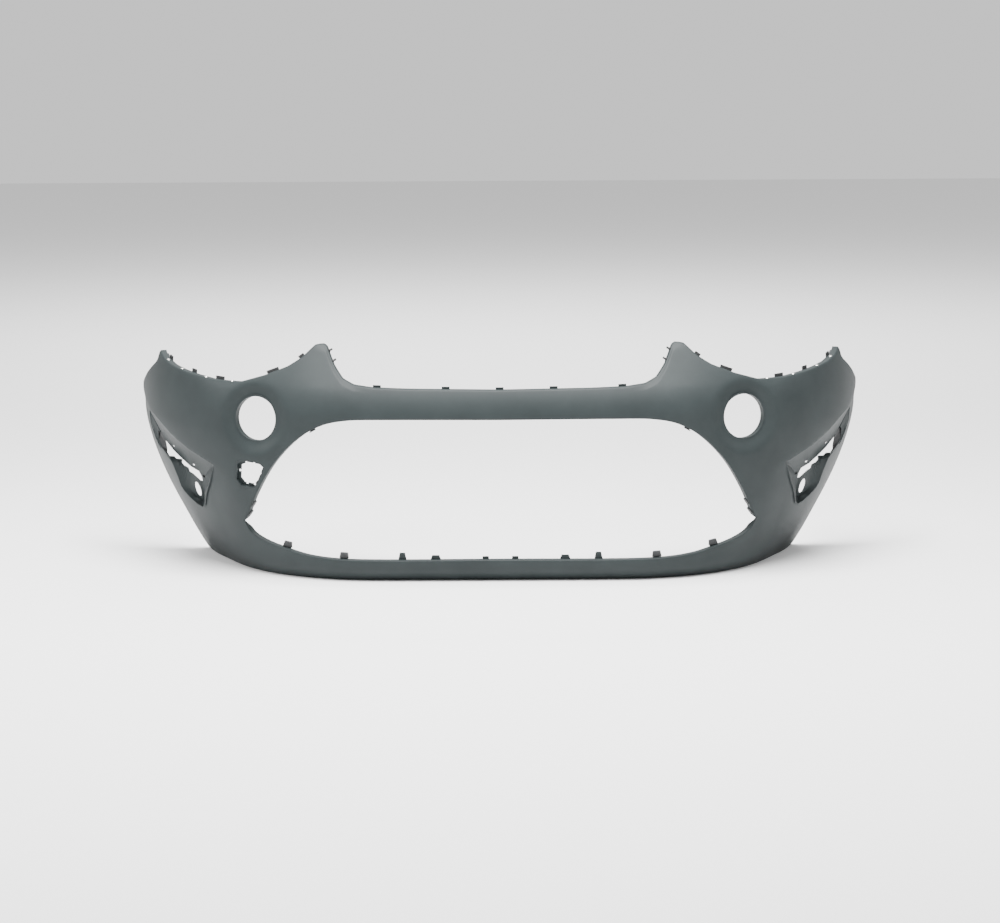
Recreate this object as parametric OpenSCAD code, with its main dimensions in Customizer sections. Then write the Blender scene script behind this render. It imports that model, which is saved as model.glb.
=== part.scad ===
// Front bumper cover for a passenger car: one moulded skin with its push-fitted and
// riveted brackets, clips and nuts. The front faces -Y, the floor is z = 0.
// Places on the skin are given as [u, z]: u is the distance along the plan curve from
// the centre line (negative to the left), z is the height, and a depth is measured inwards.

/* [Plan curve] */
// Heading of the rear ends of the cover, in degrees from straight across
side_angle = 80; // [74:1:82]
// Distance along the plan curve at which the corner turns
corner_u = 820; // [800:5:840]
// How sharply the corner turns
corner_sharpness = 3.5; // [3.2:0.1:3.8]

/* [Skin] */
// Wall thickness of the moulding
wall = 3; // [2.5:0.25:3.5]
// Depth of the return flange round the grille opening
opening_flange = 18; // [12:1:24]
// Depth of the return flange under the headlamps and bonnet
top_flange = 15; // [12:1:18]
// Depth of the flange that closes the bottom edge
bottom_flange = 42; // [36:1:46]
// How far the bottom flange's rear edge stands above the floor
bottom_rise = 5; // [4:0.5:8]
// Depth of the wheel arch flange
arch_flange = 24; // [20:1:28]

/* [Openings] */
// Bore radius of the fog lamp holes
lamp_r = 51; // [46:0.5:54]
// Length of the fog lamp collars
lamp_collar = 20; // [14:1:26]
// How far the side pockets' floor lies behind the skin, as a share of the drawn depth
pocket_share = 1; // [0.8:0.05:1.2]

/* [Fasteners] */
// Bore radius of the screw holes in the wing brackets and the bottom flange
screw_hole_r = 3.25; // [2.75:0.25:3.5]
// Radius of a rivet shank
rivet_r = 2.4; // [2:0.1:2.6]
// Radius of a rivet head
rivet_head_r = 6; // [5:0.25:7]

/* [Hidden] */
$fn = 32;

primer = [0.33, 0.37, 0.37];
black_plastic = [0.06, 0.065, 0.065];
zinc = [0.62, 0.63, 0.62];

tip_u = 628;         // widest point of the grille opening
tip_z = 128;
lamp_at = [573, 375];
tow_at = [-590, 245];
shear_u = 760;       // beyond this the grid leans to follow the wheel arch
end_u = 1200;        // where the wing edge meets the wheel arch

// Height of the top edge along the plan curve: bonnet bar, horn, headlamp edge, peak, wing edge
top_edge = [[0, 443], [210, 446], [290, 449], [335, 455], [362, 468], [385, 496], [408, 538],
            [418, 543], [438, 541], [468, 513], [500, 494], [555, 474], [620, 457], [690, 458],
            [785, 468], [880, 480], [940, 491], [972, 501], [988, 507], [993, 484],
            [1010, 474], [1110, 440], [1200, 408]];
// Height of the grille opening's upper and lower edges
opening_top = [[0, 377], [290, 378], [350, 376], [405, 365], [460, 335], [520, 278], [575, 203],
               [612, 147], [628, 128]];
opening_bottom = [[0, 52], [350, 52], [445, 58], [520, 73], [570, 85], [606, 99], [620, 112],
                  [628, 128]];
// Height of the crease over the side pocket
pocket_crease = [[600, 240], [700, 262], [760, 279], [823, 295], [893, 316], [981, 340],
                 [1066, 360], [1103, 369], [1200, 392]];
// Side pocket: upper and lower outlines from front to rear, each [mouth u, mouth z, floor u,
// floor z, floor depth]
pocket_upper = [[702, 258, 814, 212, 32], [759, 278, 828, 228, 31], [790, 287, 850, 233, 30],
                [815, 297, 868, 236, 29], [840, 305, 885, 242, 28], [867, 315, 912, 250, 26],
                [926, 338, 948, 266, 22], [985, 350, 976, 292, 16], [1040, 352, 1000, 316, 12]];
pocket_lower = [[733, 214, 824, 192, 31], [770, 178, 842, 171, 29], [822, 140, 857, 150, 20],
                [912, 170, 905, 178, 14], [911, 206, 907, 206, 12], [917, 242, 904, 240, 14],
                [955, 258, 935, 256, 14], [1000, 275, 960, 270, 14], [1040, 322, 986, 302, 12]];
// Wheel arch edge, as distance along the plan curve against height
arch_line = [[0, 1060], [60, 1047], [134, 1050], [200, 1068], [260, 1092], [310, 1119],
             [360, 1152], [408, 1200], [440, 1230]];

// Smooth curve through [key, value] points
function curve(points, key, i = 0) =
    i < len(points) - 2 && key >= points[i + 1].x ? curve(points, key, i + 1) :
    let (a = points[max(i - 1, 0)], b = points[i], c = points[i + 1],
         d = points[min(i + 2, len(points) - 1)],
         span = c.x - b.x, s = (key - b.x) / span,
         slope_b = (c.y - a.y) / (c.x - a.x), slope_c = (d.y - b.y) / (d.x - b.x))
    (2 * s * s * s - 3 * s * s + 1) * b.y + (s * s * s - 2 * s * s + s) * span * slope_b +
    (3 * s * s - 2 * s * s * s) * c.y + (s * s * s - s * s) * span * slope_c;
function straight(points, key, i = 0) =
    i < len(points) - 2 && key >= points[i + 1].x ? straight(points, key, i + 1) :
    points[i].y + (points[i + 1].y - points[i].y) *
    min(max((key - points[i].x) / (points[i + 1].x - points[i].x), 0), 1);
function ease(low, high, value) =
    let (s = min(max((value - low) / (high - low), 0), 1)) s * s * (3 - 2 * s);
function mix(a, b, s) = a + (b - a) * s;

// Plan curve, summed in short steps of its heading
plan_step = 5;
function heading(u) = side_angle * (1 - exp(-pow(abs(u) / corner_u, corner_sharpness)));
plan_points = [for (i = 0, x = 0, y = 0; i <= 260;
                    x = x + plan_step * cos(heading((i + 0.5) * plan_step)),
                    y = y + plan_step * sin(heading((i + 0.5) * plan_step)), i = i + 1) [x, y]];
function plan(u) = let (i = min(floor(abs(u) / plan_step), 259), s = abs(u) / plan_step - i)
    plan_points[i] * (1 - s) + plan_points[i + 1] * s;

// How far the surface stands back from the plan curve at a height
function centre_inset(z) =
    (z > 450 ? 27 + 0.75 * (z - 450) : 0.0042 * pow(max(z - 370, 0), 2)) +
    12 * pow(max(370 - z, 0) / 325, 2) + 25 * pow(max(1 - z / 40, 0), 2);
function side_inset(z) = 15 + 0.0122 * pow(max(350 - z, 0), 1.6) +
    0.0009 * pow(max(z - 350, 0), 2);
function inset(u, z) = mix(centre_inset(z), side_inset(z), ease(300, 900, abs(u)));

// A point on or behind the outer face; the origin is half way between the front and the rear
function raw(u, z, depth = 0) =
    let (a = heading(u), p = plan(u), back = inset(u, z) + depth)
    [sign(u) * (p.x - sin(a) * back), p.y + cos(a) * back, z];
middle_y = (raw(0, 370).y + raw(end_u, top_edge[len(top_edge) - 1].y).y) / 2;
function at(u, z, depth = 0) = raw(u, z, depth) - [0, middle_y, 0];

// Beyond the shear line a grid column is named by the distance where it would meet the wing edge
function lean(u, z) = let (v = abs(u)) v <= shear_u ? u :
    sign(u) * (shear_u + (v - shear_u) * (curve(arch_line, min(z, 408)) - shear_u) /
               (end_u - shear_u));
function top_z(u) = straight(top_edge, abs(u));
function line_slope(points, u) = (straight(points, abs(u) + 4) - straight(points, abs(u) - 4)) / 8;
function stretch(points, u) = min(norm([1, line_slope(points, u)]), 2.6);

// Depth of the dish round the fog lamp
function dish(u, z) = let (r = norm([abs(u) - lamp_at.x, z - lamp_at.y]))
    14 * (1 - ease(lamp_r, 88, r));
function place(u, z, depth = 0) = at(lean(u, z), z, depth + dish(u, z));

// Grid columns of one half, and the rows of a column from the floor to the top edge
half_columns = [0, 60, 120, 180, 240, 290, 335, 362, 385, 396, 408, 418, 438, 452, 468, 484, 500,
                520, 548, 575, 596, 612, 628, 632, 655, 680, 700, 715, 730, 745, 760, 778, 796,
                814, 832, 850, 868, 886, 904, 922, 940, 956, 972, 988, 993, 1010, 1035, 1060,
                1085, 1110, 1140, 1170, end_u - 4, end_u];
columns = [for (i = [len(half_columns) - 1 : -1 : 1]) -half_columns[i], each half_columns];
tip_share = tip_z / straight(top_edge, tip_u);
function column_rows(u) =
    let (v = abs(u), top = top_z(u), inside = v <= tip_u,
         low = inside ? curve(opening_bottom, v) : top * (tip_share + (v - tip_u) * 0.00005),
         high = inside ? curve(opening_top, v) : top * (tip_share + (v - tip_u) * 0.00025),
         low_t = inside ? wall * stretch(opening_bottom, u) : 2 * wall,
         high_t = inside ? wall * stretch(opening_top, u) : 2 * wall,
         top_t = wall * stretch(top_edge, u), side = ease(600, 700, v),
         crease = straight(pocket_crease, v),
         a = high + high_t, b = top - top_t)
    [0, wall, for (n = [1 : 3]) mix(wall, low - low_t, n / 4), low - low_t, low, high, a,
     for (n = [1 : 10]) mix(mix(a, b, n / 11),
                            n <= 6 ? mix(a, crease, n / 6) : mix(crease, b, (n - 6) / 5), side),
     b, top];
grid = [for (u = columns) column_rows(u)];
last_column = len(columns) - 1;
last_row = len(grid[0]) - 1;
opening_row = 6;

function layer_depth(i, j, k) = k == 0 ? 0 : k == 1 ? wall :
    j <= 1 ? bottom_flange : j >= last_row - 1 ? top_flange :
    i <= 1 || i >= last_column - 1 ? arch_flange : opening_flange;
function in_opening(i) = abs(columns[i]) + abs(columns[i + 1]) < 2 * tip_u;
function in_tip(i) = abs(columns[i]) + abs(columns[i + 1]) < 2 * tip_u + 8;
function skin_cell(i, j, k) =
    i < 0 || j < 0 || k < 0 || i >= last_column || j >= last_row || k > 1 ? false :
    k == 0 ? !(j == opening_row && in_opening(i)) :
    j == 0 || j == last_row - 1 || i == 0 || i == last_column - 1 ||
    (in_opening(i) && (j == opening_row - 1 || j == opening_row + 1)) ||
    (in_tip(i) && !in_opening(i) && abs(j - opening_row) <= 1);

// Closed solid of the filled cells of a grid that is `layers` points deep
module cell_solid(filled, point, across, up, layers) {
    index = function (i, j, k) (i * up + j) * layers + k;
    points = [for (i = [0 : across - 1]) for (j = [0 : up - 1]) for (k = [0 : layers - 1])
              point(i, j, k)];
    quads = [for (i = [0 : across - 2]) for (j = [0 : up - 2]) for (k = [0 : layers - 2])
             if (filled(i, j, k)) each [
        if (!filled(i, j, k - 1))
            [index(i, j, k), index(i, j + 1, k), index(i + 1, j + 1, k), index(i + 1, j, k)],
        if (!filled(i, j, k + 1))
            [index(i, j, k + 1), index(i + 1, j, k + 1), index(i + 1, j + 1, k + 1),
             index(i, j + 1, k + 1)],
        if (!filled(i, j - 1, k))
            [index(i, j, k), index(i + 1, j, k), index(i + 1, j, k + 1), index(i, j, k + 1)],
        if (!filled(i, j + 1, k))
            [index(i, j + 1, k), index(i, j + 1, k + 1), index(i + 1, j + 1, k + 1),
             index(i + 1, j + 1, k)],
        if (!filled(i - 1, j, k))
            [index(i, j, k), index(i, j, k + 1), index(i, j + 1, k + 1), index(i, j + 1, k)],
        if (!filled(i + 1, j, k))
            [index(i + 1, j, k), index(i + 1, j + 1, k), index(i + 1, j + 1, k + 1),
             index(i + 1, j, k + 1)]]];
    polyhedron(points, [for (q = quads) each points[q[0]].x + points[q[2]].x > 0 ?
        [[q[0], q[1], q[2]], [q[0], q[2], q[3]]] : [[q[0], q[1], q[3]], [q[1], q[2], q[3]]]]);
}

// Bar of four-sided sections lofted along the grid columns from a to b on one side
module bar(side, a, b, section) {
    us = [for (u = columns) if (u * side >= a && u * side <= b) u];
    n = len(us);
    loops = [for (u = us) section(u)];
    polyhedron([for (loop = loops) each loop],
               [[0, 3, 2], [0, 2, 1], [4 * n - 4, 4 * n - 3, 4 * n - 2],
                [4 * n - 4, 4 * n - 2, 4 * n - 1],
                for (i = [0 : n - 2]) for (m = [0 : 3])
                let (p = 4 * i + m, q = 4 * i + (m + 1) % 4)
                each [[p, q, q + 4], [p, q + 4, p + 4]]]);
}

// Frame on the outer face: X runs along the skin, Z points outwards
module on_skin(u, z, depth = 0) {
    tilt = atan((inset(u, z + 2) - inset(u, z - 2)) / 4);
    translate(at(u, z, depth + dish(u, z))) rotate([90, 0, sign(u) * heading(u)])
        rotate([-tilt, 0, 0]) children();
}
// Frame on an edge line given as height against distance: X along it, Y up off it, Z outwards
module on_line(points, u, depth = 0) {
    z = straight(points, abs(u));
    v = lean(u, z);
    translate(at(v, z, depth)) rotate([90, 0, sign(u) * heading(v)])
        rotate([0, 0, sign(u) * atan(line_slope(points, u))]) children();
}
// Frame on the top edge with Z up off its flange
module on_top(u, depth = 0) { on_line(top_edge, u, depth) rotate([-90, 0, 0]) children(); }

// Frame at the end of the wheel arch flange: Y points to the wheel, Z outwards
module on_arch(side, z) {
    translate(at(side * curve(arch_line, z), z, arch_flange))
        rotate([90, 0, side * heading(curve(arch_line, z))])
        rotate([0, 0, -side * (90 + atan((curve(arch_line, z + 5) - curve(arch_line, z - 5)) / 10))])
        children();
}
module arch_screw_hole() {
    translate([0, -14, 10]) rotate([-90, 0, 0]) cylinder(h = 20, r = screw_hole_r);
}

// Sheet clip pushed on the end of a flange: the flange lies from Y = 0 to Y = -wall, its end is
// at Z = 0 and its face runs towards Z+
module edge_clip(width, reach, sheet) {
    translate([-width / 2, 0, -sheet]) difference() {
        translate([0, -wall - sheet, 0]) cube([width, wall + 2 * sheet, reach + sheet]);
        translate([-1, -wall, sheet]) cube([width + 2, wall, reach + 1]);
    }
}
// The same with a barrel for the thread, as a sheet-metal nut before its hole is made
module clip_nut_blank(width, reach, sheet, hole_at) {
    edge_clip(width, reach, sheet);
    translate([0, sheet / 2, hole_at]) rotate([-90, 0, 0]) cylinder(h = 5, r = 5.5);
}

rail_rivets = [645, 730, 832, 922];
wing_screws = [1035, 1085, 1140];
arch_screws = [60, 150, 240];
undertray_screws = [-500, -300, -100, 100, 300, 500];
moulded_tabs = [34, 149, 226];
capped_tabs = [363, 510];
tow_outline = [[-30, 24], [-36, -15], [-26, -29], [6, -33], [19, -20], [39, 19], [29, 28],
               [-6, 33]];

// The pocket's space, or with `grow` the block that its walls are cut from
pocket_middle = [880, 235];
module pocket_solid(side, grow, from = 0.5) {
    rows = len(pocket_upper);
    ring = concat(pocket_upper, [for (i = [rows - 1 : -1 : 0]) pocket_lower[i]]);
    n = 2 * rows;
    function out(p) = p + grow * (p - pocket_middle) / norm(p - pocket_middle);
    function ring_at(kind) = [for (r = ring)
        let (p = out(kind < 2 ? [r[0], r[1]] : [r[2], r[3]]))
        at(side * p.x, p.y, kind == 0 ? -12 : kind == 1 ? (grow > 0 ? from : 0) :
                            r[4] * pocket_share + grow * 0.75)];
    first = grow > 0 ? 1 : 0;
    points = [for (kind = [first : 2]) each ring_at(kind)];
    last = (2 - first) * n;
    faces = [for (i = [0 : rows - 2]) let (a = i, b = i + 1, c = n - 2 - i, d = n - 1 - i)
                each [[a, b, d], [b, c, d], [last + a, last + c, last + b],
                      [last + a, last + d, last + c]],
             for (level = [0 : 1 - first]) for (m = [0 : n - 1])
                let (p = level * n + m, q = level * n + (m + 1) % n)
                each [[p, p + n, q + n], [p, q + n, q]]];
    polyhedron(points, side > 0 ? faces : [for (f = faces) [f[0], f[2], f[1]]]);
}

module lamp_cut(side) {
    on_skin(side * lamp_at.x, lamp_at.y) translate([0, 0, -lamp_collar - 10])
        cylinder(h = lamp_collar + 50, r = lamp_r);
}
module tow_seat() {
    on_skin(tow_at.x, tow_at.y) translate([0, 0, -13]) linear_extrude(11.5)
        polygon(tow_outline * 1.12);
}
module tow_cut() {
    on_skin(tow_at.x, tow_at.y) {
        translate([0, 0, -10]) linear_extrude(30) polygon(tow_outline);
        translate([0, 0, -30]) linear_extrude(30) polygon(tow_outline * 0.8);
    }
}
module tab_on_lip(u, height) {
    on_line(opening_bottom, u, opening_flange) translate([-9, -wall, 0.4])
        cube([18, wall + height, 3]);
}
// Openings in the pocket's floor, drawn as seen from the front in [x, z]
slot_top = [[709, 201], [711, 213], [717, 226], [740, 234], [765, 250], [788, 266], [811, 289]];
slot_tail = [[817, 303], [829, 308], [829, 285], [814, 264]];
slot_bottom = [[803, 259], [796, 252], [785, 252], [778, 247], [763, 247], [764, 239], [758, 232],
               [747, 228], [744, 219], [734, 214], [724, 207], [716, 201]];
frame_outline = [[702, 186], [702, 226], [742, 235], [780, 257], [806, 314], [840, 322],
                 [840, 262], [800, 236], [770, 200], [738, 180], [716, 152], [706, 160]];
module from_front(side, low, high) {
    scale([side, 1, 1]) translate([0, high, 0]) rotate([90, 0, 0]) linear_extrude(high - low)
        children();
}
module pocket_oval(grow) {
    translate([724, 178]) rotate(-14) scale([1, 2.6]) circle(r = 7 + grow, $fn = 24);
}
module pocket_cut(side) {
    from_front(side, -120, 160) polygon(concat(slot_top, slot_tail, slot_bottom));
    from_front(side, -60, 60) pocket_oval(0);
    for (p = [[703, -48, 216], [729, -30, 241], [784, 22, 278]])
        translate([side * p.x - 3, p.y - 14, p.z - 3]) cube([6, 28, 6]);
}

module bumper_skin() {
    color(primer) difference() {
        union() {
            cell_solid(function (i, j, k) skin_cell(i, j, k),
                       function (i, j, k)
                           place(columns[i], grid[i][j], layer_depth(i, j, k)) +
                           [0, 0, j <= 1 && k == 2 ? bottom_rise : 0],
                       last_column + 1, last_row + 1, 3);
            for (side = [-1, 1]) {
                pocket_solid(side, 4);
                on_skin(side * lamp_at.x, lamp_at.y) translate([0, 0, -lamp_collar])
                    cylinder(h = lamp_collar - 1, r = lamp_r + wall);
                for (u = moulded_tabs) tab_on_lip(side * u, 10);
                for (u = capped_tabs) tab_on_lip(side * u, 12);
                for (u = [123, 281]) on_line(top_edge, side * u, top_flange)
                    translate([-9, -wall, 0.4]) cube([18, wall + 5, 3]);
            }
            on_line(top_edge, 0, top_flange) translate([-9, -wall, 0.4]) cube([18, wall + 5, 3]);
            tow_seat();
        }
        tow_cut();
        for (side = [-1, 1]) {
            lamp_cut(side);
            pocket_solid(side, 0);
            pocket_cut(side);
            for (z = arch_screws) on_arch(side, z) arch_screw_hole();
            for (u = rail_rivets) on_top(side * u, top_flange / 2) translate([0, 0, -wall - 1])
                cylinder(h = wall + 2, r = rivet_r);
            for (u = wing_screws) on_top(side * u, top_flange / 2) translate([0, 0, -wall - 1])
                cylinder(h = wall + 2, r = rivet_r);
        }
        for (u = undertray_screws) translate(at(u, 0, 28) - [0, 0, 1])
            cylinder(h = wall + bottom_rise + 2, r = screw_hole_r);
    }
}

// Strip under the headlamp edge, with tabs that stand up behind the flange
module headlamp_rail(side) {
    color(black_plastic) difference() {
        union() {
            bar(side, 452, 972, function (u) let (k = stretch(top_edge, u), z = top_z(u))
                [place(u, z - (wall + 2.7) * k, 4), place(u, z - (wall + 0.2) * k, 4),
                 place(u, z - (wall + 0.2) * k, top_flange + 5),
                 place(u, z - (wall + 2.7) * k, top_flange + 5)]);
            for (t = [[470, 14], [540, 30], [690, 24], [790, 16], [930, 16]])
                on_line(top_edge, side * t[0], top_flange + 4)
                translate([-t[1] / 2, -wall - 2.6, 0]) cube([t[1], wall + 10, 3]);
        }
        for (u = rail_rivets) on_top(side * u, top_flange / 2) translate([0, 0, -wall - 6])
            cylinder(h = wall + 8, r = rivet_r);
    }
}
module flange_fastener(u, head, grip) {
    on_top(u, top_flange / 2) {
        translate([0, 0, -grip]) cylinder(h = grip, r = rivet_r);
        cylinder(h = 1.6, r = head);
        translate([0, 0, -grip - 1.4]) cylinder(h = 1.5, r = head * 0.7);
    }
}
module headlamp_rail_rivets(side) {
    color(zinc) for (u = rail_rivets) flange_fastener(side * u, rivet_head_r * 0.75, wall + 2.8);
}

// Ledge under the wing edge with a web down the back of the skin
module wing_bracket(side) {
    color(black_plastic) difference() {
        union() {
            bar(side, 1010, 1170, function (u) let (k = stretch(top_edge, u), z = top_z(u))
                [place(u, z - (wall + 2.7) * k, 4), place(u, z - (wall + 0.2) * k, 4),
                 place(u, z - (wall + 0.2) * k, top_flange + 14),
                 place(u, z - (wall + 2.7) * k, top_flange + 14)]);
            bar(side, 1010, 1170, function (u) let (k = stretch(top_edge, u), z = top_z(u))
                [place(u, z - wall * k - 30, 4), place(u, z - (wall + 1.5) * k, 4),
                 place(u, z - (wall + 1.5) * k, 7), place(u, z - wall * k - 30, 7)]);
        }
        for (u = wing_screws) on_top(side * u, top_flange / 2) translate([0, 0, -wall - 6])
            cylinder(h = wall + 8, r = rivet_r);
        for (u = [1060, 1120]) on_top(side * u, top_flange + 7) translate([0, 0, -wall - 6])
            cylinder(h = wall + 8, r = screw_hole_r);
    }
}
module wing_bracket_screws(side) {
    color(zinc) for (u = wing_screws) flange_fastener(side * u, rivet_head_r * 0.75, wall + 2.8);
}

// Carrier behind the pocket's floor, open behind the slot
module pocket_frame(side) {
    color(black_plastic) difference() {
        intersection() {
            pocket_solid(side, 7.5, 5);
            from_front(side, -120, 160) polygon(frame_outline);
        }
        pocket_solid(side, 4.8, 0.5);
        from_front(side, -130, 170) polygon(concat(slot_top, slot_bottom));
        from_front(side, -130, 170) pocket_oval(1);
    }
}

// Push-on clips at the side edges of the grille opening
module grille_clips(side) {
    color(black_plastic) for (u = [430, 596, 612])
        on_line(opening_top, side * u, opening_flange) translate([0, wall, 0])
        edge_clip(14, 12, 1.6);
}
// Caps on four of the lower lip's tabs
module grille_clips_lower() {
    color(black_plastic) for (side = [-1, 1]) for (u = capped_tabs)
        on_line(opening_bottom, side * u, opening_flange) difference() {
            translate([-11, 1, -1.6]) cube([22, 13, 7]);
            translate([-9, 0, 0.4]) cube([18, 12, 3]);
        }
}
// Locating studs on the horn's inner edge
module grille_studs(side) {
    color(black_plastic) for (u = [390, 402]) on_top(side * u, top_flange / 2) {
        cylinder(h = 2, r = 4);
        cylinder(h = 9, r = 2.4);
    }
}
// Sheet-metal nuts on the wheel arch flange, with their barrels away from the wheel
module arch_clip_nuts(side) {
    color(zinc) for (z = arch_screws) on_arch(side, z) difference() {
        translate([0, -wall, 0]) mirror([0, 1, 0]) clip_nut_blank(16, 16, 1.2, 10);
        arch_screw_hole();
    }
}
// Sheet-metal nuts over the screw holes of the bottom flange
module undertray_clip_nuts() {
    color(zinc) for (u = undertray_screws) difference() {
        translate(at(u, 0, bottom_flange) + [0, 0, bottom_rise])
            rotate([90 + atan(bottom_rise / (bottom_flange - wall)), 0, sign(u) * heading(u)])
            translate([0, wall, 0]) clip_nut_blank(16, 20, 1.2, 14);
        translate(at(u, 0, 28) - [0, 0, 1]) cylinder(h = 20, r = screw_hole_r);
    }
}

bumper_skin();
headlamp_rail(-1);  // headlamp_rail_left
headlamp_rail(1);  // headlamp_rail_right
headlamp_rail_rivets(-1);  // headlamp_rail_rivets_left
headlamp_rail_rivets(1);  // headlamp_rail_rivets_right
wing_bracket(-1);  // wing_bracket_left
wing_bracket(1);  // wing_bracket_right
wing_bracket_screws(-1);  // wing_bracket_screws_left
wing_bracket_screws(1);  // wing_bracket_screws_right
pocket_frame(-1);  // pocket_frame_left
pocket_frame(1);  // pocket_frame_right
grille_clips(-1);  // grille_clips_left
grille_clips(1);  // grille_clips_right
grille_clips_lower();
grille_studs(-1);  // grille_studs_left
grille_studs(1);  // grille_studs_right
arch_clip_nuts(-1);  // arch_clip_nuts_left
arch_clip_nuts(1);  // arch_clip_nuts_right
undertray_clip_nuts();
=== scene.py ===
import math

import bmesh
import bpy
from mathutils import Matrix, Vector


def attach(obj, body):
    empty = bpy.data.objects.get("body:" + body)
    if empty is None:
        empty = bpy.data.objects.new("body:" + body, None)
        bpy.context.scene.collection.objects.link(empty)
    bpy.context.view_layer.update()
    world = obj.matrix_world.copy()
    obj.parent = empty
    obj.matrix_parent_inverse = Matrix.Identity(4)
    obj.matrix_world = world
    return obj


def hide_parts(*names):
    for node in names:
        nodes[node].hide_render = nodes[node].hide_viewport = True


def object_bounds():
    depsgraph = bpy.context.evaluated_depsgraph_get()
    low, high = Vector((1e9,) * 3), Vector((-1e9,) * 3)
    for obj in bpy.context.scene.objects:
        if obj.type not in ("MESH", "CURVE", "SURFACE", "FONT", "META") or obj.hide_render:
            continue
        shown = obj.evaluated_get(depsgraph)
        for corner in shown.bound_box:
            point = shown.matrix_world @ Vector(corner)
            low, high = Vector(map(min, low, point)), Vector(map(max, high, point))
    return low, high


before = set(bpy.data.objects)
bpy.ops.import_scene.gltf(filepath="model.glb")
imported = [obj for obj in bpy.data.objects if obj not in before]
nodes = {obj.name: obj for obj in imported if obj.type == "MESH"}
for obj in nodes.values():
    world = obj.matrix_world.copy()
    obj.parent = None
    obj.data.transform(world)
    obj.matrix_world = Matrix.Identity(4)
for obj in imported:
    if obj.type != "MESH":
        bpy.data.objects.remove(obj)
cadLow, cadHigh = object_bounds()
mm = 0.001

# plan curve and edges of the cover, in millimetres
cover = {
    "sideAngle": 80, "cornerU": 820, "cornerSharpness": 3.5,
    "wall": 3.0, "edgeRadius": 3.2,
    "openingFlange": 18, "topFlange": 15, "bottomFlange": 42, "bottomRise": 5, "archFlange": 24,
    "tipU": 628, "tipZ": 128, "shearU": 760, "endU": 1200,
    "columnStep": 8, "upperRows": 44, "lowerRows": 15,
    "extraColumns": [396, 402, 413, 428, 978, 983, 990, 998, 1004],
    "lampAt": (573, 375), "lampRadius": 51, "lampCollar": 20,
    "towAt": (-590, 245),
}
# height against distance from the centre: bonnet bar, horn, headlamp edge, peak, wing edge
topEdge = [(0, 443), (210, 446), (290, 449), (335, 455), (362, 468), (385, 496), (408, 538),
           (418, 543), (438, 541), (468, 513), (500, 494), (555, 474), (620, 457), (690, 458),
           (785, 468), (880, 480), (940, 491), (972, 501), (988, 507), (993, 484),
           (1010, 474), (1110, 440), (1200, 408)]
openingTop = [(0, 377), (290, 378), (350, 376), (405, 365), (460, 335), (520, 278), (575, 203),
              (612, 147), (628, 128)]
openingBottom = [(0, 52), (350, 52), (445, 58), (520, 73), (570, 85), (606, 99), (620, 112),
                 (628, 128)]
archLine = [(0, 1060), (60, 1047), (134, 1050), (200, 1068), (260, 1092), (310, 1119),
            (360, 1152), (408, 1200), (440, 1230)]
pocketCrease = [(600, 240), (700, 262), (760, 279), (823, 295), (893, 316), (981, 340),
                (1066, 360), (1103, 369), (1200, 392)]
# lower line of the ledge that the headlamp sits on
ledgeLine = [(600, 457), (650, 452), (690, 455), (733, 461), (783, 467), (843, 473), (881, 479),
             (921, 489), (985, 506)]
# side pocket: mouth u, mouth z, floor u, floor z, floor depth
pocketUpper = [(702, 258, 814, 212, 32), (759, 278, 828, 228, 31), (790, 287, 850, 233, 30),
               (815, 297, 868, 236, 29), (840, 305, 885, 242, 28), (867, 315, 912, 250, 26),
               (926, 338, 948, 266, 22), (985, 350, 976, 292, 16), (1040, 352, 1000, 316, 12)]
pocketLower = [(733, 214, 824, 192, 31), (770, 178, 842, 171, 29), (822, 140, 857, 150, 20),
               (912, 170, 905, 178, 14), (911, 206, 907, 206, 12), (917, 242, 904, 240, 14),
               (955, 258, 935, 256, 14), (1000, 275, 960, 270, 14), (1040, 322, 986, 302, 12)]
pocketMiddle = (880, 235)
slotOutline = [(709, 201), (711, 213), (717, 226), (740, 234), (765, 250), (788, 266), (811, 289),
               (817, 303), (829, 308), (829, 285), (814, 264), (803, 259), (796, 252), (785, 252),
               (778, 247), (763, 247), (764, 239), (758, 232), (747, 228), (744, 219), (734, 214),
               (724, 207), (716, 201)]
towOutline = [(-30, 24), (-36, -15), (-26, -29), (6, -33), (19, -20), (39, 19), (29, 28), (-6, 33)]
railRivets = [645, 730, 832, 922]
wingScrews = [1035, 1085, 1140]
archScrews = [60, 150, 240]
undertrayScrews = [-500, -300, -100, 100, 300, 500]


def straight(points, key):
    for (a, va), (b, vb) in zip(points, points[1:]):
        if key < b:
            break
    return va + (vb - va) * min(max((key - a) / (b - a), 0), 1)


def curve(points, key):
    i = 0
    while i < len(points) - 2 and key >= points[i + 1][0]:
        i += 1
    a, b, c = points[max(i - 1, 0)], points[i], points[i + 1]
    d = points[min(i + 2, len(points) - 1)]
    span = c[0] - b[0]
    s = (key - b[0]) / span
    slopeB = (c[1] - a[1]) / (c[0] - a[0])
    slopeC = (d[1] - b[1]) / (d[0] - b[0])
    return ((2 * s**3 - 3 * s**2 + 1) * b[1] + (s**3 - 2 * s**2 + s) * span * slopeB
            + (3 * s**2 - 2 * s**3) * c[1] + (s**3 - s**2) * span * slopeC)


def ease(low, high, value):
    s = min(max((value - low) / (high - low), 0), 1)
    return s * s * (3 - 2 * s)


def heading(u):
    turned = (abs(u) / cover["cornerU"]) ** cover["cornerSharpness"]
    return cover["sideAngle"] * (1 - math.exp(-turned))


planPoints = [(0.0, 0.0)]
for step in range(260):
    angle = math.radians(heading((step + 0.5) * 5))
    planPoints.append((planPoints[-1][0] + 5 * math.cos(angle),
                       planPoints[-1][1] + 5 * math.sin(angle)))


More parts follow.
